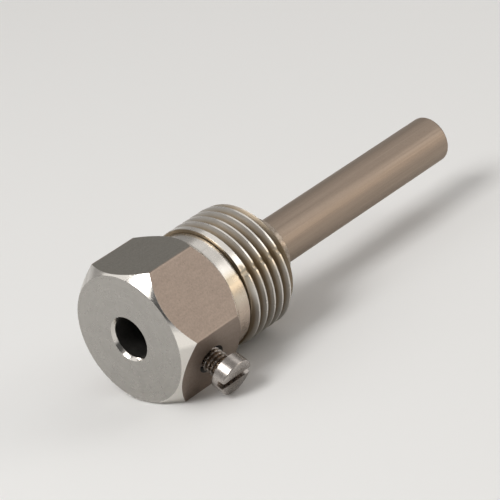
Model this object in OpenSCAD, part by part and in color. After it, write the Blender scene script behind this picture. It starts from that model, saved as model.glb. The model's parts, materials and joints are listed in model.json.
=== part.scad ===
// Screw-in thermowell: a hexagon head with a G 1/2 pipe thread, a closed tube brazed into it,
// and a slotted screw in the head that clamps the probe.
// Own frame in mm: the axis is X, the tube points along +X, and the origin lies on the axis at the
// rear face of the hexagon. +Z is the normal of one hexagon flat, so the head lies on the flat below.

/* [Hexagon head] */
// width across the flats of the hexagon
hex_af = 22; // [21.5:0.1:27]
// length of the hexagon along the axis
hex_len = 13.5; // [11:0.1:20]
// how far the turned circle on each end of the hexagon lies inside the flats
face_inset = 0.25; // [0.1:0.05:0.8]
// slope of the chamfers on the hexagon, measured from its end faces
chamfer_deg = 48; // [35:1:55]

/* [Neck] */
// diameter of the smooth neck between the hexagon and the thread
neck_d = 19.6; // [19:0.1:20.4]
// length of the neck
neck_len = 3.4; // [2.5:0.1:5]
// width of the small groove between the neck and the thread
relief_w = 0.1; // [0.1:0.05:0.5]

/* [Pipe thread] */
// outside diameter of the thread
thread_d = 20.955; // [20.7:0.005:21.1]
// threads to the inch
thread_tpi = 14; // [12:1:19]
// length from the end of the neck to the end face of the thread
thread_len = 10.6; // [8:0.1:16]
// where the last full crest stands, as the turn round the axis
thread_turn = 292; // [0:1:359]
// turn over which the first groove runs out
runout_deg = 55; // [20:5:90]
// straight steps to one turn of the thread
thread_steps = 48; // [24:4:60]

/* [Nose] */
// diameter of the round nose that holds the tube
nose_d = 11.4; // [10:0.1:13]
// length of the nose beyond the thread
nose_len = 3.8; // [2:0.1:6]
// chamfer on the end of the nose
nose_chamfer = 0.2; // [0.1:0.1:0.8]

/* [Tube and bore] */
// bore for the probe
bore_d = 6.8; // [6.2:0.1:7]
// outside diameter of the tube
tube_d = 8; // [8:0.1:8.6]
// reach of the tube from the rear face of the hexagon
tube_reach = 60; // [40:1:200]
// depth of the tube in its seat in the nose
seat_depth = 10; // [5:0.5:12]
// thickness of the closed end of the tube
tip_wall = 1.5; // [1:0.1:3]
// rounding of the edge at the closed end
tip_round = 0.5; // [0.2:0.1:0.9]
// mouth of the countersink in front of the bore
mouth_d = 7.6; // [7.2:0.1:8.2]
// depth of the countersink
mouth_depth = 0.6; // [0.3:0.1:1.2]

/* [Clamp screw] */
// diameter over the thread of the screw
screw_d = 4; // [3.6:0.1:4.4]
// length of the screw below its head
screw_len = 10; // [8:0.5:10]
// gap between the flat and the underside of the screw head
screw_out = 2.9; // [2.6:0.1:5]
// diameter of the screw head
screw_head_d = 6.3; // [5.6:0.1:7]
// height of the screw head
screw_head_h = 2.3; // [1.8:0.1:3]
// rounding of the edge of the screw head
screw_head_round = 0.2; // [0.1:0.05:0.5]
// width of the slot
slot_w = 1.1; // [0.8:0.1:1.4]
// depth of the slot
slot_depth = 1.1; // [0.8:0.1:1.3]
// mouth of the countersink round the screw hole
screw_mouth_d = 5; // [4.8:0.1:5.4]

/* [Finish] */
// smoothness of the round surfaces
fine = 64; // [48:8:96]

/* [Hidden] */
// running gap round the screw, on the radius
screw_gap = 0.06;
// gap round the tube that the braze fills, on the radius
seat_gap = 0.03;
// how far a cutting shape reaches past a face
over = 1;
// depth of the core of the head below the roots of the thread
core_gap = 0.03;
// broken edge at the end of the neck
neck_edge = 0.1;
// chamfer at the tip of the clamp screw
screw_tip_chamfer = 0.5;
// radial play left between the lead-in chamfer and the roots
lead_in_extra = 0.1;

hex_corner_r = hex_af / sqrt(3);
face_r = hex_af / 2 - face_inset;
head_front = -hex_len;
neck_r = neck_d / 2;
neck_end = neck_len;

pitch = 25.4 / thread_tpi;
crest_r = thread_d / 2;
// the 55 degree pipe thread form
thread_h = 0.640327 * pitch;
thread_round = 0.137329 * pitch;
thread_flank = 27.5;
shoulder_a = thread_round * cos(thread_flank);
shoulder_h = thread_round * (1 - sin(thread_flank));
root_r = crest_r - thread_h;
core_r = root_r * cos(180 / thread_steps) - core_gap;
thread_start = neck_end + relief_w;
thread_end = neck_end + thread_len;
lead_in = thread_h + lead_in_extra;
// where the first groove has its full depth, from the start of the thread
runout_at = 0.4;

nose_end = thread_end + nose_len;
bore_r = bore_d / 2;
mouth_r = mouth_d / 2;
tube_r = tube_d / 2;
seat_r = tube_r + seat_gap;
seat_start = nose_end - seat_depth;

// the screw stands on the middle of the flat that faces down and to -Y
screw_x = -hex_len / 2;
screw_turn = 120;
screw_r = screw_d / 2;
screw_head_r = screw_head_d / 2;
screw_mouth_r = screw_mouth_d / 2;
head_under = hex_af / 2 + screw_out;

// piece to build

// axial place of the crest beside row i of the thread
function crest_x(i, first) = first + pitch * i / thread_steps;
// share of the full depth of the groove after row i
function depth_at(i, first) =
    let (done = (crest_x(i, first) + pitch / 2 - thread_start - runout_at) / pitch * 360)
    max(0, min(1, 1 + done / runout_deg));
// one corner of the thread form: place after the crest and depth below it
function form(j) =
    j == 1 ? [shoulder_a, shoulder_h] :
    j == 2 ? [pitch / 2 - shoulder_a, thread_h - shoulder_h] :
    j == 3 ? [pitch / 2, thread_h] :
    j == 4 ? [pitch / 2 + shoulder_a, thread_h - shoulder_h] :
    [pitch - shoulder_a, shoulder_h];
function on_thread(i, r, x) = let (a = 360 * i / thread_steps) [r * cos(a), r * sin(a), x];

// a rod with a right-hand thread along +Z, ragged at both ends; it is cut to length by the head
module thread_rod() {
    crest_ref = thread_end - lead_in + pitch * (thread_turn / 360 - 1);
    first = crest_ref - pitch * ceil((crest_ref - thread_start) / pitch + 2);
    rows = thread_steps * ceil((thread_end - first) / pitch + 0.2);
    last = rows + thread_steps;
    crests = [for (i = [0:last]) on_thread(i, crest_r, crest_x(i, first))];
    grooves = [for (i = [0:rows], j = [1:5])
        on_thread(i, crest_r - form(j)[1] * depth_at(i, first), crest_x(i, first) + form(j)[0])];
    ends = [[0, 0, first - pitch], [0, 0, crest_x(last, first) + pitch]];
    at = function (i, j) j == 0 ? i : j == 6 ? i + thread_steps : last + 1 + i * 5 + j - 1;
    low = len(crests) + len(grooves);
    skin = [for (i = [0:rows - 1], j = [0:5], k = [0:1])
        k == 0 ? [at(i, j), at(i, j + 1), at(i + 1, j + 1)] : [at(i, j), at(i + 1, j + 1), at(i + 1, j)]];
    low_cap = concat(
        [for (i = [0:thread_steps - 1]) [low, i, i + 1]],
        [for (j = [0:5]) [low, at(0, j + 1), at(0, j)]]);
    high_cap = concat(
        [for (i = [rows:last - 1]) [low + 1, i + 1, i]],
        [for (j = [0:5]) [low + 1, at(rows, j), at(rows, j + 1)]]);
    polyhedron(points = concat(crests, grooves, ends), faces = concat(skin, low_cap, high_cap));
}

// turns a shape that stands along +Z so that it lies along +X
module along_x() {
    rotate([0, 90, 0]) children();
}

// moves a shape that stands along +Z onto the axis of the clamp screw
module along_screw() {
    translate([screw_x, 0, 0]) rotate([screw_turn, 0, 0]) children();
}

// half section of the hexagon's turned envelope, radius against length
module hex_envelope() {
    rise = tan(chamfer_deg);
    wide = hex_corner_r + over;
    deep = (wide - face_r) * rise;
    polygon([[0, -hex_len], [face_r, -hex_len], [wide, -hex_len + deep], [wide, -deep],
             [face_r, 0], [0, 0]]);
}

// half section of the thread's turned envelope: square start, chamfered lead-in at the end
module thread_envelope() {
    wide = crest_r + over;
    chamfer = over + lead_in;
    polygon([[0, thread_start], [wide, thread_start], [wide, thread_end - chamfer],
             [wide - chamfer, thread_end], [0, thread_end]]);
}

module head_body() {
    along_x() {
        intersection() {
            translate([0, 0, head_front]) rotate([0, 0, 30])
                cylinder(r = hex_corner_r, h = hex_len, $fn = 6);
            rotate_extrude($fn = fine) hex_envelope();
        }
        // neck and core of the thread
        rotate_extrude($fn = fine)
            polygon([[0, -over], [neck_r, -over], [neck_r, neck_end - neck_edge],
                     [neck_r - neck_edge, neck_end],
                     [core_r, neck_end], [core_r, thread_end - lead_in], [0, thread_end - lead_in]]);
        intersection() {
            thread_rod();
            rotate_extrude($fn = fine) thread_envelope();
        }
        // nose
        rotate_extrude($fn = fine)
            polygon([[0, thread_end - over], [nose_d / 2, thread_end - over],
                     [nose_d / 2, nose_end - nose_chamfer], [nose_d / 2 - nose_chamfer, nose_end],
                     [0, nose_end]]);
    }
}

module head() {
    color([0.62, 0.60, 0.57]) difference() {
        head_body();
        along_x() {
            translate([0, 0, head_front - over])
                cylinder(r = bore_r, h = nose_end - head_front + 2 * over, $fn = fine);
            translate([0, 0, head_front - over])
                cylinder(r1 = mouth_r + (mouth_r - bore_r) * over / mouth_depth, r2 = bore_r,
                         h = mouth_depth + over, $fn = fine);
            translate([0, 0, seat_start]) cylinder(r = seat_r, h = seat_depth + over, $fn = fine);
        }
        along_screw() {
            cylinder(r = screw_r + screw_gap, h = hex_af / 2 + over, $fn = fine);
            // 45 degree countersink
            translate([0, 0, hex_af / 2 - screw_mouth_r + screw_r])
                cylinder(r1 = screw_r, r2 = screw_mouth_r + over, h = screw_mouth_r - screw_r + over,
                         $fn = fine);
        }
    }
}

module well_tube() {
    color([0.58, 0.54, 0.50]) along_x() rotate_extrude($fn = fine) difference() {
        union() {
            translate([0, seat_start]) square([tube_r, tube_reach - seat_start - tip_round]);
            translate([0, tube_reach - 2 * tip_round]) square([tube_r - tip_round, 2 * tip_round]);
            translate([tube_r - tip_round, tube_reach - tip_round]) circle(r = tip_round, $fn = fine);
        }
        translate([0, seat_start - over])
            square([bore_r, tube_reach - tip_wall - seat_start + over]);
    }
}

module clamp_screw() {
    color([0.55, 0.52, 0.49]) along_screw() difference() {
        rotate_extrude($fn = fine) {
            // shank with a chamfered tip
            polygon([[0, head_under - screw_len], [screw_r - screw_tip_chamfer, head_under - screw_len],
                     [screw_r, head_under - screw_len + screw_tip_chamfer], [screw_r, head_under + over],
                     [0, head_under + over]]);
            // head with a rounded edge
            translate([0, head_under]) square([screw_head_r, screw_head_h - screw_head_round]);
            translate([0, head_under]) square([screw_head_r - screw_head_round, screw_head_h]);
            translate([screw_head_r - screw_head_round, head_under + screw_head_h - screw_head_round])
                circle(r = screw_head_round, $fn = fine);
        }
        translate([-screw_head_d, -slot_w / 2, head_under + screw_head_h - slot_depth])
            cube([2 * screw_head_d, slot_w, slot_depth + over]);
    }
}

head();
well_tube();
clamp_screw();
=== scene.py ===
"""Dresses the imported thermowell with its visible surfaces, its finishes and a plain stage.

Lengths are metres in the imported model's own frame: the axis is X, the tube points along +X, and the
rear face of the hexagon lies at X = 0. A turn is counted round the axis from +Z towards -Y.
"""
import json
import math

import bmesh
import bpy
import numpy as np
from mathutils import Matrix, Vector


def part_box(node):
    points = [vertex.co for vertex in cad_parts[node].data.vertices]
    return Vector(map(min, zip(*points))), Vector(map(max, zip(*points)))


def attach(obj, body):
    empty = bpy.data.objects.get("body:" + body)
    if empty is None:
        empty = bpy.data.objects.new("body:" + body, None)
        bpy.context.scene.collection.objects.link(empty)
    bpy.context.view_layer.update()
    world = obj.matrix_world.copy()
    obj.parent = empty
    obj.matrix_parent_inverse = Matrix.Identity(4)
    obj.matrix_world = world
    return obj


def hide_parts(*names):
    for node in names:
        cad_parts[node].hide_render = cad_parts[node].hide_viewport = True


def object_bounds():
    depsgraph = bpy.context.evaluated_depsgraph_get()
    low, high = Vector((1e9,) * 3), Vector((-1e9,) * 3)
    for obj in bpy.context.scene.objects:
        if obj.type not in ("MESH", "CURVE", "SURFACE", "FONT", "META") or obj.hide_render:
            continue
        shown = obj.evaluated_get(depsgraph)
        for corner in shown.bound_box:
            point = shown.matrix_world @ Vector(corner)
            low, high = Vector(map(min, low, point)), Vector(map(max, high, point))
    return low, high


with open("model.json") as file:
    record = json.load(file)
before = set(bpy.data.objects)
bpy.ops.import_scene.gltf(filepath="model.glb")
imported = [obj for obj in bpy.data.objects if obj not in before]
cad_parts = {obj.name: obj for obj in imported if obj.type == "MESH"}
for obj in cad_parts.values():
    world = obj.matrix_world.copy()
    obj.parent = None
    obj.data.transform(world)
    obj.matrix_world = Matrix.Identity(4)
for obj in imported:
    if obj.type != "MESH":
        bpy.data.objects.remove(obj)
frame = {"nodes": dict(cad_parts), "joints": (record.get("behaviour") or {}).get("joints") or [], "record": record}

bl_info = {
    "name": "Screw-in thermowell",
    "version": (1, 0, 0),
    "blender": (4, 5, 0),
    "location": "3D View > Sidebar > Thermowell",
    "description": "Builds the turned head, clamp screw, braze and finishes of a screw-in thermowell",
    "category": "Object",
}

MM = 0.001
HEAD_LOW, HEAD_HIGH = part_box("head")
TUBE_LOW, TUBE_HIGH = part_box("well_tube")
SCREW_LOW, SCREW_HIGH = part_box("clamp_screw")
MODEL_LOW, MODEL_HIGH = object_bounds()
BORE = next(m for m in frame["record"]["mounts"] if m["name"] == "well_bore")
SCREW_JOINT = next(j for j in frame["joints"] if j["child"] == "screw")
SCREW_OUT = Vector(SCREW_JOINT["axis"])
SCREW_X = (SCREW_LOW.x + SCREW_HIGH.x) / 2


# ---- sizes ----

def length(name, description, default):
    """A length property in metres, shown in the scene's length unit."""
    return bpy.props.FloatProperty(name=name, description=description, default=default,
                                   unit="LENGTH", subtype="DISTANCE", precision=5)


def angle(name, description, degrees):
    """An angle property with its default given in degrees."""
    return bpy.props.FloatProperty(name=name, description=description,
                                   default=math.radians(degrees), subtype="ANGLE")


def colour(name, description, default):
    """A colour property without alpha."""
    return bpy.props.FloatVectorProperty(name=name, description=description, default=default,
                                         size=3, min=0.0, max=1.0, subtype="COLOR")


def share(name, description, default):
    """A number from 0 to 1."""
    return bpy.props.FloatProperty(name=name, description=description, default=default,
                                   min=0.0, max=1.0, subtype="FACTOR")


class HeadSizes(bpy.types.PropertyGroup):
    """Sizes of the turned head."""

    across_flats: length("Across flats", "Width over two flats", HEAD_HIGH.z - HEAD_LOW.z)
    hex_length: length("Hexagon length", "Length of the hexagon along the axis", -HEAD_LOW.x)
    face_inset: length("Face inset", "Turned end circle inside the flats", 0.25 * MM)
    chamfer: angle("Chamfer", "Slope of the hexagon's chamfers from its end faces", 48.0)
    bar_edge: length("Bar edge", "Rounding of the long edges of the bar", 0.15 * MM)
    broken_edge: length("Broken edge", "Rounding of the turned edges", 0.05 * MM)
    inner_fillet: length("Inner fillet", "Tool radius in the inner corners", 0.10 * MM)
    neck_radius: length("Neck radius", "Radius of the smooth neck", 9.8 * MM)
    neck_length: length("Neck length", "Length of the neck", 3.4 * MM)
    neck_chamfer: length("Neck chamfer", "Broken edge at the end of the neck", 0.1 * MM)
    relief_radius: length("Relief radius", "Radius of the groove behind the thread", 9.27 * MM)
    relief_width: length("Relief width", "Width of the groove behind the thread", 0.1 * MM)
    nose_radius: length("Nose radius", "Radius of the nose that holds the tube", 5.7 * MM)
    nose_chamfer: length("Nose chamfer", "Chamfer on the end of the nose", 0.2 * MM)
    nose_end: length("Nose end", "Place of the nose's end face", HEAD_HIGH.x)
    seat_radius: length("Seat radius", "Radius of the seat for the tube", 4.03 * MM)
    seat_start: length("Seat start", "Place of the bottom of the seat", TUBE_LOW.x)
    bore_radius: length("Bore radius", "Radius of the bore", BORE["dims"]["r_mm"] * MM)
    mouth_radius: length("Mouth radius", "Radius of the bore's countersink", 3.8 * MM)
    mouth_depth: length("Mouth depth", "Depth of the bore's countersink", 0.6 * MM)


class ThreadSizes(bpy.types.PropertyGroup):
    """Sizes of the pipe thread."""

    crest_radius: length("Crest radius", "Radius over the crests", 10.4775 * MM)
    pitch: length("Pitch", "Advance in one turn", 25.4 / 14 * MM)
    crest_flat: length("Crest flat", "Half the width worn flat on the crests", 0.15 * MM)
    dent_turn: angle("Dent turn", "Where the row of small dents crosses the crests", 68.5)
    dent_depth: length("Dent depth", "Depth of the dents in the crests", 0.32 * MM)
    dent_width: length("Dent width", "Half the width of a dent", 0.62 * MM)
    end: length("End", "Place of the thread's end face", 14.0 * MM)
    lead_in_depth: length("Lead-in depth", "Radial depth of the lead-in chamfer", 1.262 * MM)
    crest_turn: angle("Crest turn", "Turn at which the last full crest stands", 292.0)
    runout: angle("Run-out", "Turn over which the first groove runs out", 55.0)
    runout_at: length("Run-out place", "Where the first groove has its full depth", 0.4 * MM)


class ScrewSizes(bpy.types.PropertyGroup):
    """Sizes of the clamp screw, counted outward along its own axis."""

    radius: length("Radius", "Radius over the thread", 2.0 * MM)
    pitch: length("Pitch", "Advance in one turn", 0.7 * MM)
    tip: length("Tip", "Place of the tip", 3.9 * MM)
    tip_chamfer: length("Tip chamfer", "Chamfer on the tip", 0.5 * MM)
    under_head: length("Under the head", "Place of the underside of the head", 13.9 * MM)
    head_height: length("Head height", "Height of the head", 2.3 * MM)
    head_radius: length("Head radius", "Radius of the head", (SCREW_HIGH.x - SCREW_LOW.x) / 2)
    head_round: length("Head rounding", "Rounding of the head's outer edge", 0.2 * MM)
    head_edge: length("Head edge", "Rounding of the head's inner edge", 0.08 * MM)
    slot_width: length("Slot width", "Width of the slot", 1.1 * MM)
    slot_depth: length("Slot depth", "Depth of the slot", 1.1 * MM)
    hole_radius: length("Hole radius", "Radius of the hole in the head", 2.06 * MM)
    hole_mouth: length("Hole mouth", "Radius of the hole's countersink", 2.5 * MM)


class BrazeSizes(bpy.types.PropertyGroup):
    """Sizes of the fillet of braze."""

    foot: length("Foot", "How far the braze spreads over the nose", 0.42 * MM)
    rise: length("Rise", "How far the braze climbs along the tube", 0.38 * MM)
    sunk: length("Sunk", "How far the ring's hidden faces lie in the metal", 0.02 * MM)


class Finish(bpy.types.PropertyGroup):
    """Colours and roughness of the metal."""

    turned: colour("Turned steel", "Colour of the turned faces", (0.58, 0.557, 0.522))
    bar: colour("Bar skin", "Colour of the drawn flats", (0.340, 0.276, 0.232))
    rubbed: colour("Rubbed flat", "Colour of the flat that has been rubbed grey", (0.285, 0.270, 0.240))
    tube: colour("Tube", "Colour of the drawn tube", (0.360, 0.288, 0.230))
    screw: colour("Screw", "Colour of the clamp screw", (0.50, 0.46, 0.43))
    braze: colour("Braze", "Colour of the braze", (0.52, 0.44, 0.33))
    turned_roughness: share("Turned roughness", "Roughness of the turned faces", 0.28)
    bar_roughness: share("Bar roughness", "Roughness of the flats", 0.48)
    tube_roughness: share("Tube roughness", "Roughness of the tube", 0.46)
    screw_roughness: share("Screw roughness", "Roughness of the screw", 0.26)


class Stage(bpy.types.PropertyGroup):
    """Camera, floor and light."""

    azimuth: angle("Azimuth", "Turn of the camera round the object", -41.54)
    elevation: angle("Elevation", "Height of the camera above the horizon", 22.33)
    roll: angle("Roll", "Turn of the camera about its own axis", -14.98)
    distance: length("Distance", "From the camera to the point it looks at", 0.48862)
    aim_x: length("Aim", "Place on the axis that the camera looks at", 14.93 * MM)
    aim_z: length("Aim height", "Height of the point that the camera looks at", 1.29 * MM)
    lens: bpy.props.FloatProperty(name="Lens", description="Focal length in millimetres",
                                  default=223.78)
    floor: colour("Floor", "Colour of the floor", (0.86, 0.86, 0.85))
    horizon: colour("Horizon", "Colour of the light from the horizon", (0.74, 0.73, 0.72))
    overhead: colour("Overhead", "Colour of the light from above", (0.40, 0.39, 0.38))
    shade: colour("Shade", "Colour of the light from above on the near side", (0.10, 0.10, 0.10))


GROUPS = {"head": HeadSizes, "thread": ThreadSizes, "screw": ScrewSizes, "braze": BrazeSizes,
          "finish": Finish, "stage": Stage}


class Thermowell(bpy.types.PropertyGroup):
    """All the settings, as the panel lists them."""

    head: bpy.props.PointerProperty(type=HeadSizes)
    thread: bpy.props.PointerProperty(type=ThreadSizes)
    screw: bpy.props.PointerProperty(type=ScrewSizes)
    braze: bpy.props.PointerProperty(type=BrazeSizes)
    finish: bpy.props.PointerProperty(type=Finish)
    stage: bpy.props.PointerProperty(type=Stage)


# ---- turned surfaces ----

FULL_TURN = 2 * math.pi
FLAT_TURN = FULL_TURN / 6

# How finely the surfaces are divided.
HEAD_COLUMNS = 264
SCREW_COLUMNS = 72
RING_COLUMNS = 96
ARC_STEPS = 3
CREST_ROWS = 5
ROOT_ROWS = 5
DENT_STEPS = 5
DENT_STEP = math.radians(0.65)
SCREW_ROWS_PER_PITCH = 14
BRAZE_STEPS = 8

# Points nearer than WELD are merged, cutters reach OVER past the metal, and bends over SHARP stay.
WELD = 0.0001 * MM
OVER = 1.0 * MM
SHARP = math.radians(38)

# The rounded 55 degree form of the pipe thread and the 60 degree form of the screw's, in pitches.
THREAD_HEIGHT = 0.640327
THREAD_ROUND = 0.137329
THREAD_FLANK = math.radians(27.5)
FINE_DEPTH = 0.6134
FINE_CREST = 1 / 16
FINE_ROOT = 1 / 8


def unit(vectors):
    """Vectors scaled to length one."""
    return vectors / np.linalg.norm(vectors, axis=-1, keepdims=True)


def corner_arc(before, corner, after, radius):
    """Rows of an arc that rounds a corner of the section, each a (columns, 2) array."""
    back, ahead = unit(before - corner), unit(after - corner)
    middle = unit(back + ahead)
    half = np.arccos(np.clip((back * middle).sum(-1, keepdims=True), -1, 1))
    centre = corner + middle * radius / np.sin(half)
    first = corner + back * radius / np.tan(half) - centre
    last = corner + ahead * radius / np.tan(half) - centre
    spread = math.pi - 2 * half
    return [centre + (np.sin((1 - s) * spread) * first + np.sin(s * spread) * last) / np.sin(spread)
            for s in np.linspace(0, 1, ARC_STEPS + 1)]


def section_rows(corners, columns):
    """Rows of a section, the finish of the strip after each row, and where each corner starts.

    corners lists (place, radius from the axis, rounding, finish of the side that follows), where
    the place and the radius are numbers or one number per column.
    """
    points = [np.stack(np.broadcast_arrays(place, radius, np.zeros(columns))[:2], -1).astype(float)
              for place, radius, _, _ in corners]
    rows, finishes, starts = [], [], []
    for i, (_, _, rounding, finish) in enumerate(corners):
        starts.append(len(rows))
        if rounding:
            arc = corner_arc(points[i - 1], points[i], points[(i + 1) % len(points)], rounding)
        else:
            arc = [points[i]]
        rows += arc
        finishes += [0] * (len(arc) - 1) + [finish]
    return rows, finishes, starts


def lathe_mesh(name, rows, finishes, turns, closed, meets=None):
    """A mesh of revolution from rows of (place, radius), with one column per turn.

    meets gives the row that each row joins after a whole turn, where rows follow a helix.
    """
    grid = np.array(rows)
    places, radii = grid[..., 0], grid[..., 1]
    points = np.stack([places, -radii * np.sin(turns), radii * np.cos(turns)], -1).reshape(-1, 3)
    count, columns = grid.shape[:2]
    row = np.arange(count if closed else count - 1)[:, None]
    column = np.arange(columns)[None, :]
    above, beside = (row + 1) % count, (column + 1) % columns
    meets = np.arange(count) if meets is None else meets
    row_on = np.where(beside == 0, meets[row], row)
    above_on = np.where(beside == 0, meets[above], above)
    faces = np.stack([row * columns + column, row_on * columns + beside,
                      above_on * columns + beside, above * columns + column], -1)
    kept = row_on != above_on
    slots = np.repeat(np.array(finishes[:len(row)], np.int32)[:, None], columns, 1)[kept]
    mesh = bpy.data.meshes.new(name)
    mesh.from_pydata(points.tolist(), [], faces[kept].tolist())
    mesh.polygons.foreach_set("material_index", slots)
    build = bmesh.new()
    build.from_mesh(mesh)
    bmesh.ops.remove_doubles(build, verts=build.verts, dist=WELD)
    bmesh.ops.recalc_face_normals(build, faces=build.faces)
    build.to_mesh(mesh)
    build.free()
    return mesh


def put(name, data, *materials):
    """Links a new object into the scene, with these materials on its mesh."""
    made = bpy.data.objects.new(name, data)
    bpy.context.scene.collection.objects.link(made)
    for material in materials:
        data.materials.append(material)
    return made


def evaluated_mesh(piece):
    """The piece's mesh with its modifiers applied."""
    bpy.context.view_layer.update()
    return bpy.data.meshes.new_from_object(
        piece.evaluated_get(bpy.context.evaluated_depsgraph_get()))


def apply_modifiers(piece):
    """Puts the effect of the modifiers into the piece's own mesh."""
    old, piece.data = piece.data, evaluated_mesh(piece)
    piece.modifiers.clear()
    bpy.data.meshes.remove(old)


def combine(piece, tool, operation):
    """Cuts the tool out of the piece or adds it on, and deletes the tool."""
    step = piece.modifiers.new(operation.lower(), "BOOLEAN")
    step.operation = operation
    step.solver = "MANIFOLD"
    step.object = tool
    apply_modifiers(piece)
    bpy.data.objects.remove(tool)


def smooth(piece):
    """Smooth shading with crisp edges, in which the large faces stay flat."""
    piece.data.shade_smooth()
    piece.data.set_sharp_from_angle(angle=SHARP)
    even = piece.modifiers.new("even normals", "WEIGHTED_NORMAL")
    even.keep_sharp = True
    apply_modifiers(piece)


# ---- head ----

def thread_depth(gap, flat):
    """Depth of a rounded thread form worn flat on top, at a gap from the crest, all in pitches."""
    shoulder = THREAD_ROUND * math.cos(THREAD_FLANK)
    drop = THREAD_ROUND * (1 - math.sin(THREAD_FLANK))
    power = (shoulder - flat) / drop / math.tan(THREAD_FLANK)
    crest = drop * (np.maximum(gap - flat, 0) / (shoulder - flat)) ** power
    side = drop + (gap - shoulder) / math.tan(THREAD_FLANK)
    root = THREAD_HEIGHT - THREAD_ROUND + np.sqrt(np.maximum(THREAD_ROUND ** 2 - (0.5 - gap) ** 2, 0))
    return np.where(gap < shoulder, crest, np.where(gap > 0.5 - shoulder, root, side))


def thread_steps(flat):
    """Where the rows stand in one pitch from the crest on, closer together where the form bends."""
    shoulder = THREAD_ROUND * math.cos(THREAD_FLANK)
    crest = np.linspace(flat, shoulder, CREST_ROWS)
    root = np.linspace(0.5 - shoulder, 0.5, ROOT_ROWS + 1)[:-1]
    half = [flat / 2, *crest, *root]
    return [0.0, *half, 0.5, *(1 - step for step in reversed(half))]


def pipe_thread_rows(sizes, start, turns):
    """Places and radii of rows that follow the pipe thread's helix, and the rows in one turn."""
    first = sizes.end - sizes.lead_in_depth + sizes.pitch * (sizes.crest_turn / FULL_TURN - 1)
    flat = sizes.crest_flat / sizes.pitch
    steps = thread_steps(flat)
    lowest = math.floor((start - first) / sizes.pitch - 0.5)
    highest = math.ceil((sizes.end - first) / sizes.pitch + 0.5)
    along = np.array([crest + step for crest in range(lowest, highest) for step in steps] + [highest])
    share = (turns[None, :] - math.pi) / FULL_TURN
    places = np.clip(first + (along[:, None] + share) * sizes.pitch, start, sizes.end)
    along = (places - first) / sizes.pitch - share
    groove = np.floor(along)
    depth = thread_depth(0.5 - np.abs(along - groove - 0.5), flat) * sizes.pitch
    middle = first + (groove + 0.5 + share) * sizes.pitch
    past = (middle - start - sizes.runout_at) / sizes.pitch * FULL_TURN
    full = np.clip(1 + past / sizes.runout, 0, 1)
    lead_in = sizes.crest_radius - sizes.lead_in_depth + sizes.end - places
    beside = sizes.crest_radius * (turns - sizes.dent_turn) / sizes.dent_width
    dented = sizes.crest_radius - sizes.dent_depth * (1 - beside ** 2)
    radii = np.minimum(sizes.crest_radius - depth * full, lead_in)
    return places, np.minimum(radii, dented), len(steps)


def head_turns(bar_edge, flat, dent_turn):
    """Turns of the head's columns, closer together over the rounded edges and the dents.

    It also gives how far from the axis an edge's arc is centred, and half the turn it takes up.
    """
    even = np.arange(HEAD_COLUMNS) * FULL_TURN / HEAD_COLUMNS
    centre = (flat - bar_edge) / math.cos(FLAT_TURN / 2)
    edge = FLAT_TURN / 2 - math.atan(centre * math.sin(FLAT_TURN / 2) / flat)
    extra = [k * FLAT_TURN + FLAT_TURN / 2 + s * edge / ARC_STEPS
             for k in range(6) for s in range(-ARC_STEPS, ARC_STEPS + 1) if s]
    extra += [dent_turn + s * DENT_STEP for s in range(-DENT_STEPS, DENT_STEPS + 1)]
    return np.sort(np.concatenate([even, np.array(extra) % FULL_TURN])), centre, edge


def hexagon_radius(turns, flat, bar_edge, centre, edge):
    """Radius of the rounded hexagon at each turn."""
    from_flat = (turns + FLAT_TURN / 2) % FLAT_TURN - FLAT_TURN / 2
    from_edge = FLAT_TURN / 2 - np.abs(from_flat)
    rounded = centre * np.cos(from_edge) + np.sqrt(
        np.maximum(bar_edge ** 2 - (centre * np.sin(from_edge)) ** 2, 0))
    return np.where(from_edge < edge, rounded, flat / np.cos(from_flat))


def head_mesh(head, thread):
    """The turned head as one closed skin, from its outer face round to its bore."""
    flat = head.across_flats / 2
    turns, centre, edge = head_turns(head.bar_edge, flat, thread.dent_turn)
    bar = hexagon_radius(turns, flat, head.bar_edge, centre, edge)
    circle = flat - head.face_inset
    slope = (bar - circle) * math.tan(head.chamfer)
    start = head.neck_length + head.relief_width
    places, ridges, per_turn = pipe_thread_rows(thread, start, turns)
    sharp, fillet = head.broken_edge, head.inner_fillet
    corners = [
        (-head.hex_length, circle, sharp, 0),
        (-head.hex_length + slope, bar, sharp, 1),
        (-slope, bar, sharp, 0),
        (0, circle, sharp, 0),
        (0, head.neck_radius, fillet, 0),
        (head.neck_length - head.neck_chamfer, head.neck_radius, sharp, 0),
        (head.neck_length, head.neck_radius - head.neck_chamfer, sharp, 0),
        (head.neck_length, head.relief_radius, head.relief_width / 4, 0),
        (start, head.relief_radius, head.relief_width / 4, 0),
    ]
    before = len(corners)
    corners += [
        *((place, ridge, 0, 0) for place, ridge in zip(places, ridges)),
        (thread.end, head.nose_radius, fillet, 0),
        (head.nose_end - head.nose_chamfer, head.nose_radius, sharp, 0),
        (head.nose_end, head.nose_radius - head.nose_chamfer, sharp, 0),
        (head.nose_end, head.seat_radius, 0, 2),
        (head.seat_start, head.seat_radius, 0, 2),
        (head.seat_start, head.bore_radius, 0, 2),
        (-head.hex_length + head.mouth_depth, head.bore_radius, sharp, 0),
        (-head.hex_length, head.mouth_radius, sharp, 0),
    ]
    rows, finishes, starts = section_rows(corners, len(turns))
    meets = np.arange(len(rows))
    helix = slice(starts[before], starts[before] + len(places))
    meets[helix] = np.minimum(meets[helix] + per_turn, helix.stop - 1)
    return lathe_mesh("turned_head", rows, finishes, turns, closed=True, meets=meets)


def screw_matrix():
    """Places the screw: its X becomes the outward axis, and its slot lies along the head's axis."""
    across = Vector((1, 0, 0))
    return Matrix.Translation((SCREW_X, 0, 0)) @ Matrix(
        (SCREW_OUT, SCREW_OUT.cross(across), -across)).transposed().to_4x4()


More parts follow.
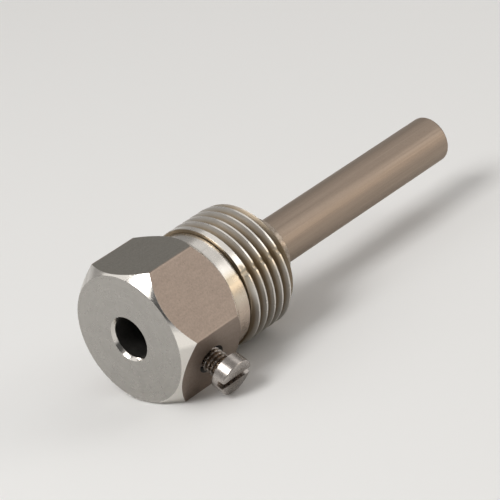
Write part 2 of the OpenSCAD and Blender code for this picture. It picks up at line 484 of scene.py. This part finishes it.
def hole_cutter(screw, flat):
    """The shape of the screw hole with its 45 degree countersink."""
    turns = np.arange(RING_COLUMNS) * FULL_TURN / RING_COLUMNS
    sink = screw.hole_mouth - screw.hole_radius
    corners = [(0, 0, 0, 2), (0, screw.hole_radius, 0, 2), (flat - sink, screw.hole_radius, 0, 2),
               (flat + OVER, screw.hole_mouth + OVER, 0, 2), (flat + OVER, 0, 0, 2)]
    rows, finishes, _ = section_rows(corners, RING_COLUMNS)
    cutter = put("hole_cutter", lathe_mesh("hole_cutter", rows, finishes, turns, closed=False))
    cutter.matrix_world = screw_matrix()
    return cutter


class ThermowellTurnHead(bpy.types.Operator):
    """Builds the turned head: hexagon, neck, pipe thread, nose, bore and screw hole"""

    bl_idname = "thermowell.turn_head"
    bl_label = "Turn the head"

    def execute(self, context):
        settings = context.scene.thermowell
        piece = put("turned_head", head_mesh(settings.head, settings.thread),
                    turned_steel(settings), bar_skin(settings), bore_wall(settings))
        combine(piece, hole_cutter(settings.screw, settings.head.across_flats / 2), "DIFFERENCE")
        smooth(piece)
        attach(piece, "well")
        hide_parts("head")
        return {"FINISHED"}


# ---- clamp screw ----

def screw_thread_radius(screw, start, end, places, turns):
    """Radius of the screw's 60 degree thread, which runs out under the head."""
    depth_full = FINE_DEPTH * screw.pitch
    crest, root = FINE_CREST * screw.pitch, FINE_ROOT * screw.pitch
    along = places[:, None] / screw.pitch + turns[None, :] / FULL_TURN
    gap = np.abs((along + 0.5) % 1 - 0.5) * screw.pitch
    depth = np.clip((gap - crest) / (screw.pitch / 2 - crest - root), 0, 1) * depth_full
    left = np.clip((end - places[:, None]) / (screw.pitch / 2), 0, 1)
    lead_in = screw.radius - screw.tip_chamfer + places[:, None] - start
    return np.minimum(screw.radius - depth * left, lead_in)


def screw_mesh(screw):
    """Shank with its thread, and the head before its slot is cut."""
    turns = np.arange(SCREW_COLUMNS) * FULL_TURN / SCREW_COLUMNS
    steps = round((screw.under_head - screw.tip) / (screw.pitch / SCREW_ROWS_PER_PITCH))
    places = np.linspace(screw.tip, screw.under_head, steps + 1)
    ridges = screw_thread_radius(screw, screw.tip, screw.under_head, places, turns)
    top = screw.under_head + screw.head_height
    corners = [
        (screw.tip, 0, 0, 0),
        *((place, ridge, 0, 0) for place, ridge in zip(places, ridges)),
        (screw.under_head, screw.head_radius, screw.head_edge, 0),
        (top, screw.head_radius, screw.head_round, 0),
        (top, 0, 0, 0),
    ]
    rows, finishes, _ = section_rows(corners, SCREW_COLUMNS)
    return lathe_mesh("clamp_screw_cut", rows, finishes, turns, closed=False)


def slot_cutter(screw):
    """A block with the slot's width and depth, across the head."""
    top = screw.under_head + screw.head_height
    low = Vector((top - screw.slot_depth, -screw.slot_width / 2, -screw.head_radius - OVER))
    high = Vector((top + OVER, screw.slot_width / 2, screw.head_radius + OVER))
    build = bmesh.new()
    bmesh.ops.create_cube(build, size=1.0)
    bmesh.ops.scale(build, vec=high - low, verts=build.verts)
    bmesh.ops.translate(build, vec=(high + low) / 2, verts=build.verts)
    mesh = bpy.data.meshes.new("slot_cutter")
    build.to_mesh(mesh)
    build.free()
    return put("slot_cutter", mesh)


class ThermowellCutScrew(bpy.types.Operator):
    """Builds the slotted clamp screw with its fine thread"""

    bl_idname = "thermowell.cut_screw"
    bl_label = "Cut the clamp screw"

    def execute(self, context):
        settings = context.scene.thermowell
        piece = put("slotted_clamp_screw", screw_mesh(settings.screw), screw_steel(settings))
        combine(piece, slot_cutter(settings.screw), "DIFFERENCE")
        smooth(piece)
        piece.matrix_world = screw_matrix()
        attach(piece, "screw")
        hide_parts("clamp_screw")
        return {"FINISHED"}


# ---- tube and braze ----

class ThermowellFinishTube(bpy.types.Operator):
    """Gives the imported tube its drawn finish"""

    bl_idname = "thermowell.finish_tube"
    bl_label = "Finish the tube"

    def execute(self, context):
        tube = frame["nodes"]["well_tube"]
        tube.data.materials.clear()
        tube.data.materials.append(drawn_tube(context.scene.thermowell))
        return {"FINISHED"}


def braze_mesh(braze, nose_end, tube):
    """The hollow fillet between the nose's end face and the tube, with its hidden faces sunk."""
    turns = np.arange(RING_COLUMNS) * FULL_TURN / RING_COLUMNS
    bend = [math.pi / 2 * s / BRAZE_STEPS for s in range(BRAZE_STEPS + 1)]
    corners = [
        (nose_end - braze.sunk, tube - braze.sunk, 0, 0),
        *((nose_end + braze.rise * (1 - math.sin(b)), tube + braze.foot * (1 - math.cos(b)), 0, 0)
          for b in bend),
        (nose_end - braze.sunk, tube + braze.foot, 0, 0),
    ]
    rows, finishes, _ = section_rows(corners, RING_COLUMNS)
    return lathe_mesh("braze_ring", rows, finishes, turns, closed=True)


class ThermowellBraze(bpy.types.Operator):
    """Builds the ring of braze where the tube leaves the nose"""

    bl_idname = "thermowell.braze"
    bl_label = "Braze the tube"

    def execute(self, context):
        settings = context.scene.thermowell
        mesh = braze_mesh(settings.braze, settings.head.nose_end, TUBE_HIGH.y)
        piece = put("braze_ring", mesh, braze_metal(settings))
        smooth(piece)
        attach(piece, "well")
        return {"FINISHED"}


# ---- finish effects ----

# The part of the noise's range that is spread from zero to one, and how close scratches lie.
SPREAD = (0.3, 0.7)
SCRATCHES_PER_MM = (0.25, 6.0, 6.0)


def node(tree, kind, inputs=None, **settings):
    """Adds a node. Each input is a value, or a socket to link."""
    made = tree.nodes.new(kind)
    for key, value in settings.items():
        setattr(made, key, value)
    for key, value in (inputs or {}).items():
        if isinstance(value, bpy.types.NodeSocket):
            tree.links.new(value, made.inputs[key])
        else:
            made.inputs[key].default_value = value
    return made


def maths(tree, operation, first, second=0.0):
    """The result of a Math node."""
    return node(tree, "ShaderNodeMath", {0: first, 1: second}, operation=operation).outputs[0]


def times(tree, first, second):
    """The product of two values."""
    return maths(tree, "MULTIPLY", first, second)


def ramp(tree, value, low, high, to_low=0.0, to_high=1.0):
    """The value mapped from one range to another, and kept inside it."""
    return node(tree, "ShaderNodeMapRange", {"Value": value, "From Min": low, "From Max": high,
                                             "To Min": to_low, "To Max": to_high}).outputs[0]


def between(tree, value, rise, fall):
    """One between two limits and zero outside. Each limit tells where zero ends and one begins."""
    return times(tree, ramp(tree, value, *rise), ramp(tree, value, *fall))


def blend_colour(tree, factor, first, second, blend_type="MIX"):
    """The colour between two colours."""
    made = node(tree, "ShaderNodeMix", {"Factor": factor}, data_type="RGBA", blend_type=blend_type)
    for socket, value in ((made.inputs[6], first), (made.inputs[7], second)):
        if isinstance(value, bpy.types.NodeSocket):
            tree.links.new(value, socket)
        else:
            socket.default_value = (*value, 1.0)
    return made.outputs[2]


def noise(tree, point, scale, detail, roughness=0.5):
    """The value of cloudy noise at a point."""
    return node(tree, "ShaderNodeTexNoise", {"Vector": point, "Scale": scale, "Detail": detail,
                                             "Roughness": roughness}).outputs[0]


def effect(name, inputs, outputs, fill):
    """A shader node group, made once. Its sockets are floats, and fill draws what is in it."""
    tree = bpy.data.node_groups.get(name)
    if tree is None:
        tree = bpy.data.node_groups.new(name, "ShaderNodeTree")
        for label, default in inputs.items():
            socket = tree.interface.new_socket(label, in_out="INPUT", socket_type="NodeSocketFloat")
            socket.default_value = default
        for label in outputs:
            tree.interface.new_socket(label, in_out="OUTPUT", socket_type="NodeSocketFloat")
        results = fill(tree, tree.nodes.new("NodeGroupInput").outputs)
        target = tree.nodes.new("NodeGroupOutput")
        for label, result in zip(outputs, results):
            tree.links.new(result, target.inputs[label])
    return tree


def place(tree):
    """The point on the surface in the object's own frame, in millimetres."""
    point = node(tree, "ShaderNodeTexCoord").outputs["Object"]
    return node(tree, "ShaderNodeVectorMath", {0: point, 1: (1000, 1000, 1000)},
                operation="MULTIPLY").outputs[0]


def cylindrical(tree):
    """Place along the axis, distance from the axis and turn round it, in millimetres and radians."""
    parts = node(tree, "ShaderNodeSeparateXYZ", {0: place(tree)}).outputs
    radius = maths(tree, "SQRT", maths(tree, "ADD", times(tree, parts[1], parts[1]),
                                       times(tree, parts[2], parts[2])))
    return parts[0], radius, maths(tree, "ARCTAN2", parts[1], parts[2])


def fill_turning_marks(tree, inputs):
    """Fine rings left by the tool, uneven from ring to ring."""
    along, radius, _ = cylindrical(tree)
    across = maths(tree, "ADD", along, times(tree, radius, 0.9))
    spot = node(tree, "ShaderNodeCombineXYZ",
                {0: times(tree, across, inputs["Rings per mm"])}).outputs[0]
    return [ramp(tree, noise(tree, spot, 1.0, 3.0), *SPREAD)]


def turning_marks():
    """The group of rings that turning leaves."""
    return effect("Turning marks", {"Rings per mm": 9.0}, ["Height"], fill_turning_marks)


def fill_drawn_lines(tree, inputs):
    """Long lines along the axis: fine ones and broader streaks."""
    along, radius, turn = cylindrical(tree)
    results = []
    for lines, detail in (("Lines per mm", 3.0), ("Streaks per mm", 1.5)):
        girth = times(tree, times(tree, turn, inputs["Radius mm"]), inputs[lines])
        spot = node(tree, "ShaderNodeCombineXYZ",
                    {0: times(tree, along, inputs["Along"]), 1: girth}).outputs[0]
        results.append(ramp(tree, noise(tree, spot, 1.0, detail), *SPREAD))
    return results


def drawn_lines():
    """The group of lines that drawing a bar or tube leaves."""
    return effect("Drawn lines", {"Lines per mm": 7.0, "Streaks per mm": 1.6, "Along": 0.05,
                                  "Radius mm": 4.0}, ["Fine", "Streaks"], fill_drawn_lines)


def fill_handling_wear(tree, inputs):
    """Mottling, short straight scratches and small dark specks."""
    point = place(tree)
    mottle = noise(tree, point, inputs["Mottle per mm"], 4.0, 0.6)
    hairs = []
    for spread in (0.25, -0.35):
        lean = node(tree, "ShaderNodeCombineXYZ",
                    {0: maths(tree, "ADD", inputs["Scratch turn"], spread),
                     2: maths(tree, "ADD", inputs["Scratch tilt"], spread)}).outputs[0]
        turned = node(tree, "ShaderNodeMapping", {"Vector": point, "Rotation": lean}).outputs[0]
        stretched = node(tree, "ShaderNodeVectorMath", {0: turned, 1: SCRATCHES_PER_MM},
                         operation="MULTIPLY").outputs[0]
        hairs.append(ramp(tree, noise(tree, stretched, 1.0, 1.0), 0.70, 0.76))
    scratches = maths(tree, "MAXIMUM", hairs[0], hairs[1])
    dots = node(tree, "ShaderNodeTexVoronoi", {"Vector": point, "Scale": inputs["Specks per mm"],
                                               "Randomness": 1.0}).outputs["Distance"]
    clusters = noise(tree, point, 0.45, 2.0)
    near = ramp(tree, clusters, inputs["Speck limit"], maths(tree, "ADD", inputs["Speck limit"], 0.1))
    specks = times(tree, ramp(tree, dots, 0.20, 0.10), near)
    return [ramp(tree, mottle, *SPREAD), scratches, specks]


def handling_wear():
    """The group of marks that handling leaves on all the metal. Untilted scratches lie near X."""
    return effect("Handling wear", {"Mottle per mm": 1.2, "Specks per mm": 1.6, "Speck limit": 0.5,
                                    "Scratch turn": 0.0, "Scratch tilt": 0.0},
                  ["Mottle", "Scratches", "Specks"], fill_handling_wear)


def use(tree, group, **values):
    """Places an effect in a material, with its own values, and gives its outputs."""
    made = node(tree, "ShaderNodeGroup", node_tree=group)
    for label, value in values.items():
        made.inputs[label.replace("_", " ")].default_value = value
    return made.outputs


# ---- materials ----

# Tints on the steel, as factors for red, green and blue: painted shade, painted reflections and highlights, dirt
# and heat scale, as told beside each.
# Painted shade with some dirt, deep in the pipe thread's grooves.
GROOVE_SHADE_AND_GRIME = (0.56, 0.48, 0.38)
# Painted shade: the grooves darker still on the thread's lower side.
LOW_SIDE_GROOVE_SHADE = (0.45, 0.37, 0.28)
# Painted shade in the narrow relief groove behind the thread.
RELIEF_SHADE = (0.50, 0.41, 0.30)
DARK_SCALE = (0.40, 0.34, 0.29)
PALE_SCALE = (0.74, 0.66, 0.59)
# Painted reflection: a yellowish band where the metal mirrors warm surroundings.
YELLOW_REFLECTION = (0.94, 0.88, 0.76)
# Painted highlight: the lower side of the neck lighter and warmer.
WARM_HIGHLIGHT = (1.14, 1.04, 0.92)
# Painted reflection: further round, the neck's lower side tan.
TAN_REFLECTION = (0.94, 0.80, 0.70)
# Darker towards the roots of the screw's thread.
SCREW_ROOT_DARKENING = (0.45, 0.38, 0.30)

# Turns at which the painted shade and the painted reflections on thread, neck and chamfer start and end,
# each as a pair that tells where zero ends and one begins. In radians from +Z, less than zero towards -Y.
LOW_SIDE_SHADE_TURNS = ((-1.05, -1.35), (-2.6, -2.2))
YELLOW_REFLECTION_TURNS = ((-1.02, -1.14), (-1.50, -1.26))
# Where the chamfer carries the stronger painted reflection.
CHAMFER_REFLECTION_TURNS = ((-1.25, -1.35), (-1.62, -1.56))
WARM_HIGHLIGHT_START = (-1.22, -1.36)
TAN_REFLECTION_START = (-1.52, -1.72)

# The hexagon's front face and its top flat, in millimetres.
FACE = HEAD_LOW.x / MM
TOP = HEAD_HIGH.z / MM


def mottled(tree, scale, low, high):
    """A value that the mottling varies between two limits."""
    return ramp(tree, use(tree, handling_wear(), Mottle_per_mm=scale)["Mottle"], 0, 1, low, high)


def mottled_colour(tree, scale, dark, pale):
    """A colour that the mottling varies between two others."""
    wear = use(tree, handling_wear(), Mottle_per_mm=scale)
    return blend_colour(tree, wear["Mottle"], dark, pale)


def metal(name, colour_of, roughness_of, height_of, bump_mm, strength=0.5):
    """A metal whose colour, roughness and height come from functions of its own node tree."""
    made = bpy.data.materials.get(name)
    if made is None:
        made = bpy.data.materials.new(name)
        made.use_nodes = True
        tree = made.node_tree
        shader = tree.nodes["Principled BSDF"]
        shader.inputs["Metallic"].default_value = 1.0
        bump = node(tree, "ShaderNodeBump", {"Height": height_of(tree), "Strength": strength,
                                             "Distance": bump_mm * MM})
        tree.links.new(colour_of(tree), shader.inputs["Base Color"])
        tree.links.new(roughness_of(tree), shader.inputs["Roughness"])
        tree.links.new(bump.outputs[0], shader.inputs["Normal"])
    return made


def shaded(base, factor):
    """The colour made darker or lighter by one factor, or by a factor for each channel."""
    return tuple(np.minimum(np.multiply(base, factor), 1.0).tolist())


def chamfers(tree, along):
    """One on the hexagon's chamfers, smoother and with a painted highlight, and zero on the other turned surfaces.
    """
    return between(tree, along, (FACE + 0.02, FACE + 0.06), (0.0, -0.02))


def turned_steel(settings):
    """Satin turned steel: rings, specks, nose heat scale, thread dirt, painted highlights, shade and warm
    reflections.
    """
    base = tuple(settings.finish.turned)
    roughness = settings.finish.turned_roughness
    neck_end = settings.head.neck_length / MM
    start = (settings.head.neck_length + settings.head.relief_width) / MM
    end = settings.thread.end / MM
    crest = settings.thread.crest_radius / MM
    nose = settings.head.nose_radius / MM

    def crests(tree, along, radius):
        """One on the crests of the pipe thread, burnished, where a painted highlight lightens them."""
        return times(tree, ramp(tree, along, start - 0.05, start),
                     ramp(tree, radius, crest - 0.0375, crest - 0.0175))

    def grooves(tree, along, radius):
        """Rises from zero on the pipe thread's crests to one near the bottom of its grooves."""
        thread = between(tree, along, (start - 0.2, start - 0.05), (end + 0.1, end))
        return times(tree, ramp(tree, radius, crest - 0.0275, crest - 0.6775), thread)

    def clean_steel(tree, mottle, along, radius, turn):
        """Uneven rings, painted shade on the end face, and painted highlights on the chamfers and the burnished
        crests.
        """
        rings = use(tree, turning_marks(), Rings_per_mm=3.0)
        uneven = maths(tree, "ADD", times(tree, mottle, 0.5), times(tree, rings["Height"], 0.5))
        plain = blend_colour(tree, uneven, shaded(base, 0.92), shaded(base, 1.08))
        # Painted shade: the end face darkened to three quarters of the rest.
        face_shaded = blend_colour(tree, ramp(tree, along, FACE + 0.03, FACE + 0.01), plain, (0.74,) * 3,
                            "MULTIPLY")
        # Painted highlight on the chamfers and crests, and a stronger painted reflection on the chamfer a quarter
        # turn round towards -Y.
        bright = maths(tree, "MAXIMUM", chamfers(tree, along), crests(tree, along, radius))
        chamfer_reflection = times(tree, between(tree, turn, *CHAMFER_REFLECTION_TURNS), chamfers(tree, along))
        cut = blend_colour(tree, chamfer_reflection, shaded(base, 1.18), shaded(base, 1.6))
        return blend_colour(tree, bright, face_shaded, cut)

    def colours(tree):
        wear = use(tree, handling_wear(), Mottle_per_mm=0.5, Specks_per_mm=1.3, Speck_limit=0.66)
        along, radius, turn = cylindrical(tree)
        clean = clean_steel(tree, wear["Mottle"], along, radius, turn)
        # Painted shade with some dirt darkens the thread's grooves, and painted shade darkens them more on the
        # lower side.
        groove_shade = blend_colour(tree, between(tree, turn, *LOW_SIDE_SHADE_TURNS), shaded(base, GROOVE_SHADE_AND_GRIME),
                             shaded(base, LOW_SIDE_GROOVE_SHADE))
        groove_shaded = blend_colour(tree, grooves(tree, along, radius), clean, groove_shade)
        # Painted shade in the relief groove between the neck and the thread.
        relief = between(tree, along, (neck_end - 0.03, neck_end), (start + 0.1, start))
        low = ramp(tree, radius, crest - 0.0275, crest - 0.1775)
        relief_shaded = blend_colour(tree, times(tree, relief, low), groove_shaded, shaded(base, RELIEF_SHADE))
        # Painted reflection: a yellow band along the neck and thread, about a quarter turn round towards -Y.
        yellow_band = times(tree, between(tree, turn, *YELLOW_REFLECTION_TURNS), ramp(tree, along, 0.4, 0.8))
        yellow_reflected = blend_colour(tree, yellow_band, relief_shaded, YELLOW_REFLECTION, "MULTIPLY")
        # Painted warm highlight and painted tan reflection on the lower side of the neck.
        neck = between(tree, along, (0.3, 0.5), (neck_end - 0.03, neck_end - 0.1))
        neck_highlight = times(tree, neck, ramp(tree, turn, *WARM_HIGHLIGHT_START))
        neck_reflections = blend_colour(tree, ramp(tree, turn, *TAN_REFLECTION_START), WARM_HIGHLIGHT, TAN_REFLECTION)
        neck_reflected = blend_colour(tree, neck_highlight, yellow_reflected, neck_reflections, "MULTIPLY")
        heated = times(tree, ramp(tree, along, end, end + 0.8),
                       ramp(tree, radius, nose + 0.7, nose + 0.2))
        scale = mottled_colour(tree, 2.2, shaded(base, DARK_SCALE), shaded(base, PALE_SCALE))
        scaled = blend_colour(tree, heated, neck_reflected, scale)
        return blend_colour(tree, times(tree, wear["Specks"], 0.25), scaled, shaded(base, 0.35))

    def roughnesses(tree):
        along, radius, _ = cylindrical(tree)
        even = mottled(tree, 0.8, roughness - 0.03, roughness + 0.04)
        torn = maths(tree, "ADD", even, times(tree, grooves(tree, along, radius), 0.25))
        return maths(tree, "SUBTRACT", torn, times(tree, chamfers(tree, along), 0.12))

    def heights(tree):
        return use(tree, turning_marks(), Rings_per_mm=9.0)["Height"]

    return metal("turned steel", colours, roughnesses, heights, 0.002, 0.35)


def bar_skin(settings):
    """The drawn skin of the hexagon bar: matt brown-grey, fine-grained, with wear and a painted highlight at its
    long edges.
    """
    base = tuple(settings.finish.bar)
    roughness = settings.finish.bar_roughness
    flat = settings.head.across_flats / 2 / MM
    corner = flat / math.cos(FLAT_TURN / 2)

    def colours(tree):
        wear = use(tree, handling_wear(), Mottle_per_mm=3.2, Specks_per_mm=2.2)
        lines = use(tree, drawn_lines(), Radius_mm=flat, Along=0.25)
        grain = maths(tree, "ADD", times(tree, wear["Mottle"], 0.75),
                      times(tree, lines["Streaks"], 0.25))
        height = node(tree, "ShaderNodeSeparateXYZ", {0: place(tree)}).outputs[2]
        rubbed = ramp(tree, height, TOP - 0.04, TOP - 0.01)
        skin = blend_colour(tree, rubbed, base, tuple(settings.finish.rubbed))
        grained = blend_colour(tree, 1.0, skin, blend_colour(tree, grain, (0.86,) * 3, (1.14,) * 3),
                               "MULTIPLY")
        _, radius, _ = cylindrical(tree)
        # Painted highlight along the long edges, broken up by the streaks of wear.
        edge = times(tree, ramp(tree, radius, corner - 0.18, corner - 0.08),
                     ramp(tree, lines["Streaks"], 0.0, 0.6, 0.4, 0.85))
        worn = blend_colour(tree, edge, grained, shaded(base, 1.2))
        return blend_colour(tree, times(tree, wear["Specks"], 0.4), worn, shaded(base, 0.4))

    def roughnesses(tree):
        return mottled(tree, 4.0, roughness - 0.05, roughness + 0.07)

    def heights(tree):
        wear = use(tree, handling_wear(), Mottle_per_mm=4.5, Scratch_tilt=0.3)
        lines = use(tree, drawn_lines(), Radius_mm=flat, Along=0.25)
        grain = maths(tree, "ADD", times(tree, lines["Fine"], 0.3), wear["Mottle"])
        return maths(tree, "SUBTRACT", grain, times(tree, wear["Scratches"], 0.7))

    return metal("bar skin", colours, roughnesses, heights, 0.006, 0.4)


def bore_wall(settings):
    """The bore's drilled wall: the turned steel darkened to 0.22, painted shade in the bore, seat and screw hole.
    """
    # Painted shade: a dark copy of the turned steel.
    base = shaded(tuple(settings.finish.turned), 0.22)

    def colours(tree):
        return mottled_colour(tree, 0.7, shaded(base, 0.7), shaded(base, 1.2))

    def roughnesses(tree):
        return mottled(tree, 1.5, 0.45, 0.6)

    def heights(tree):
        return use(tree, turning_marks(), Rings_per_mm=5.0)["Height"]

    return metal("bore wall", colours, roughnesses, heights, 0.01)


def drawn_tube(settings):
    """The drawn tube: brownish, with long fine lines."""
    base = tuple(settings.finish.tube)
    roughness = settings.finish.tube_roughness

    def colours(tree):
        wear = use(tree, handling_wear(), Mottle_per_mm=4.0, Specks_per_mm=2.4, Speck_limit=0.6)
        lines = use(tree, drawn_lines(), Lines_per_mm=6.0, Streaks_per_mm=1.2, Along=0.03)
        fine = maths(tree, "ADD", times(tree, lines["Fine"], 0.25), times(tree, wear["Mottle"], 0.4))
        streaks = maths(tree, "ADD", times(tree, lines["Streaks"], 0.35), fine)
        skin = blend_colour(tree, streaks, shaded(base, 0.86), shaded(base, 1.12))
        return blend_colour(tree, times(tree, wear["Specks"], 0.4), skin, shaded(base, 0.4))

    def roughnesses(tree):
        lines = use(tree, drawn_lines(), Lines_per_mm=6.0, Along=0.03)
        return ramp(tree, lines["Fine"], 0, 1, roughness + 0.08, roughness - 0.04)

    def heights(tree):
        wear = use(tree, handling_wear())
        lines = use(tree, drawn_lines(), Lines_per_mm=6.0, Along=0.03)
        return maths(tree, "SUBTRACT", maths(tree, "ADD", lines["Fine"], lines["Streaks"]),
                     wear["Scratches"])

    return metal("drawn tube", colours, roughnesses, heights, 0.006, 0.45)


def screw_steel(settings):
    """The clamp screw: smooth, darker towards the roots of its thread."""
    base = tuple(settings.finish.screw)
    roughness = settings.finish.screw_roughness
    crest = settings.screw.radius / MM
    under_head = settings.screw.under_head / MM

    def colours(tree):
        along, radius, _ = cylindrical(tree)
        skin = mottled_colour(tree, 1.2, shaded(base, 0.74), shaded(base, 0.94))
        shank = ramp(tree, along, under_head + 0.2, under_head + 0.1, 0.25, 1.0)
        # Darker towards the roots of the thread, on the shank only.
        low = times(tree, ramp(tree, radius, crest - 0.05, crest - 0.35), shank)
        return blend_colour(tree, low, skin, shaded(base, SCREW_ROOT_DARKENING))

    def roughnesses(tree):
        return mottled(tree, 2.0, roughness - 0.04, roughness + 0.06)

    def heights(tree):
        wear = use(tree, handling_wear())
        rings = use(tree, turning_marks(), Rings_per_mm=12.0)
        return maths(tree, "SUBTRACT", times(tree, rings["Height"], 0.4), wear["Scratches"])

    return metal("screw steel", colours, roughnesses, heights, 0.004, 0.35)


def braze_metal(settings):
    """The braze: yellowish, smooth and slightly uneven."""
    base = tuple(settings.finish.braze)

    def colours(tree):
        return mottled_colour(tree, 1.8, shaded(base, 0.7), shaded(base, 1.15))

    def roughnesses(tree):
        return mottled(tree, 2.5, 0.24, 0.4)

    def heights(tree):
        return use(tree, handling_wear(), Mottle_per_mm=2.5)["Mottle"]

    return metal("braze", colours, roughnesses, heights, 0.03)


# ---- stage ----

FLOOR_GAP = 0.02 * MM
CLIP = (0.01, 20.0)

# Where the light from all round changes, across the ground and up from the horizon.
NEAR_SIDE = (-0.80, -1.05)
ABOVE_HORIZON = (0.06, 0.24)


def camera_axes(stage):
    """The camera's right, up and back."""
    a, e, roll = stage.azimuth, stage.elevation, stage.roll
    back = Vector((math.sin(a) * math.cos(e), -math.cos(a) * math.cos(e), math.sin(e)))
    right = Vector((math.cos(a), math.sin(a), 0))
    up = back.cross(right)
    return (right * math.cos(roll) + up * math.sin(roll),
            up * math.cos(roll) - right * math.sin(roll), back)


def set_camera(stage):
    """Makes the camera, aimed at a point over the object's axis."""
    right, up, back = camera_axes(stage)
    made = put("camera", bpy.data.cameras.new("camera"))
    made.data.lens = stage.lens
    made.data.clip_start, made.data.clip_end = CLIP
    spot = Vector((stage.aim_x, 0, stage.aim_z)) + back * stage.distance
    made.matrix_world = Matrix.Translation(spot) @ Matrix((right, up, back)).transposed().to_4x4()
    bpy.context.scene.camera = made


def lay_floor(stage):
    """A plain floor just under the hexagon. Far from it, the camera sees it fade into the horizon."""
    reach, near, far = 1.5, 0.25, 0.8
    low = MODEL_LOW.z - FLOOR_GAP
    mesh = bpy.data.meshes.new("floor")
    mesh.from_pydata([(x, y, low) for x, y in ((-reach, -reach), (reach, -reach),
                                               (reach, reach), (-reach, reach))],
                     [], [(0, 1, 2, 3)])
    material = bpy.data.materials.new("floor")
    material.use_nodes = True
    shader = material.node_tree.nodes["Principled BSDF"]
    shader.inputs["Base Color"].default_value = (*stage.floor, 1.0)
    shader.inputs["Roughness"].default_value = 0.9
    shader.inputs["Specular IOR Level"].default_value = 0.1
    tree = material.node_tree
    point = node(tree, "ShaderNodeTexCoord").outputs["Object"]
    away = node(tree, "ShaderNodeVectorMath", {0: point}, operation="LENGTH").outputs["Value"]
    seen = node(tree, "ShaderNodeLightPath").outputs["Is Camera Ray"]
    haze = times(tree, ramp(tree, away, near, far), seen)
    glow = node(tree, "ShaderNodeEmission", {"Color": (*stage.horizon, 1.0)}).outputs[0]
    faded = node(tree, "ShaderNodeMixShader", {0: haze, 1: shader.outputs[0], 2: glow}).outputs[0]
    tree.links.new(faded, tree.nodes["Material Output"].inputs["Surface"])
    put("floor", mesh, material)


def softbox(name, direction, distance, width, height, radiance, tint):
    """A rectangular lamp that faces the object. Its brightness is what its surface gives off."""
    lamp = bpy.data.lights.new(name, "AREA")
    lamp.shape = "RECTANGLE"
    lamp.size, lamp.size_y = width, height
    lamp.energy = radiance * math.pi * width * height
    lamp.color = tint
    made = put(name, lamp)
    made.location = Vector(direction).normalized() * distance
    made.rotation_mode = "QUATERNION"
    made.rotation_quaternion = Vector(direction).to_track_quat("Z", "Y")


# Name, direction, distance, width, height, radiance and tint of each lamp.
SOFTBOXES = (
    ("key", (-0.61, 0.03, 0.79), 0.7, 0.32, 0.32, 8.0, (1.0, 0.99, 0.98)),
    ("back", (-0.38, 0.62, 0.69), 0.9, 0.56, 0.50, 0.65, (1.0, 0.99, 0.98)),
    ("over", (0.61, -0.02, 0.79), 0.9, 0.84, 0.38, 0.70, (1.0, 0.99, 0.98)),
    ("side", (0.61, -0.63, 0.47), 0.9, 0.40, 0.36, 1.8, (1.0, 0.98, 0.95)),
    ("low side", (0.61, -0.78, 0.12), 0.9, 0.40, 0.22, 1.9, (1.0, 0.85, 0.68)),
)


def sky(stage):
    """Light from all round: pale at the horizon, dimmer overhead and dimmest on the near side."""
    scene = bpy.context.scene
    scene.world = scene.world or bpy.data.worlds.new("world")
    scene.world.use_nodes = True
    tree = scene.world.node_tree
    direction = node(tree, "ShaderNodeTexCoord").outputs["Generated"]
    along, across, height = node(tree, "ShaderNodeSeparateXYZ", {0: direction}).outputs
    far = maths(tree, "ADD", along, across)
    above = blend_colour(tree, ramp(tree, far, *NEAR_SIDE), tuple(stage.overhead),
                         tuple(stage.shade))
    shades = blend_colour(tree, ramp(tree, height, *ABOVE_HORIZON), tuple(stage.horizon), above)
    tree.links.new(shades, tree.nodes["Background"].inputs["Color"])


class ThermowellStage(bpy.types.Operator):
    """Makes the floor, the softboxes, the light from all round and the camera"""

    bl_idname = "thermowell.stage"
    bl_label = "Set the stage"

    def execute(self, context):
        stage = context.scene.thermowell.stage
        context.scene.view_settings.view_transform = "Standard"
        lay_floor(stage)
        for lamp in SOFTBOXES:
            softbox(*lamp)
        sky(stage)
        set_camera(stage)
        return {"FINISHED"}


# ---- panel ----

OPERATORS = (ThermowellTurnHead, ThermowellCutScrew, ThermowellFinishTube, ThermowellBraze,
             ThermowellStage)


class ThermowellPanel(bpy.types.Panel):
    """Lists the operators and their settings"""

    bl_idname = "VIEW3D_PT_thermowell"
    bl_label = "Thermowell"
    bl_space_type = "VIEW_3D"
    bl_region_type = "UI"
    bl_category = "Thermowell"

    def draw(self, context):
        settings = context.scene.thermowell
        for operator in OPERATORS:
            self.layout.operator(operator.bl_idname)
        for label in GROUPS:
            group = getattr(settings, label)
            box = self.layout.box()
            box.label(text=label.capitalize())
            for key in group.bl_rna.properties.keys():
                if key not in {"rna_type", "name"}:
                    box.prop(group, key)


CLASSES = (*GROUPS.values(), Thermowell, *OPERATORS, ThermowellPanel)


def register():
    """Registers the classes and their settings."""
    for item in CLASSES:
        bpy.utils.register_class(item)
    bpy.types.Scene.thermowell = bpy.props.PointerProperty(type=Thermowell)


def unregister():
    """Takes the settings and the classes away again."""
    del bpy.types.Scene.thermowell
    for item in reversed(CLASSES):
        bpy.utils.unregister_class(item)


def main():
    """Makes every piece and the stage."""
    register()
    bpy.ops.thermowell.stage()
    bpy.ops.thermowell.turn_head()
    bpy.ops.thermowell.cut_screw()
    bpy.ops.thermowell.finish_tube()
    bpy.ops.thermowell.braze()


if __name__ == "__main__":
    main()
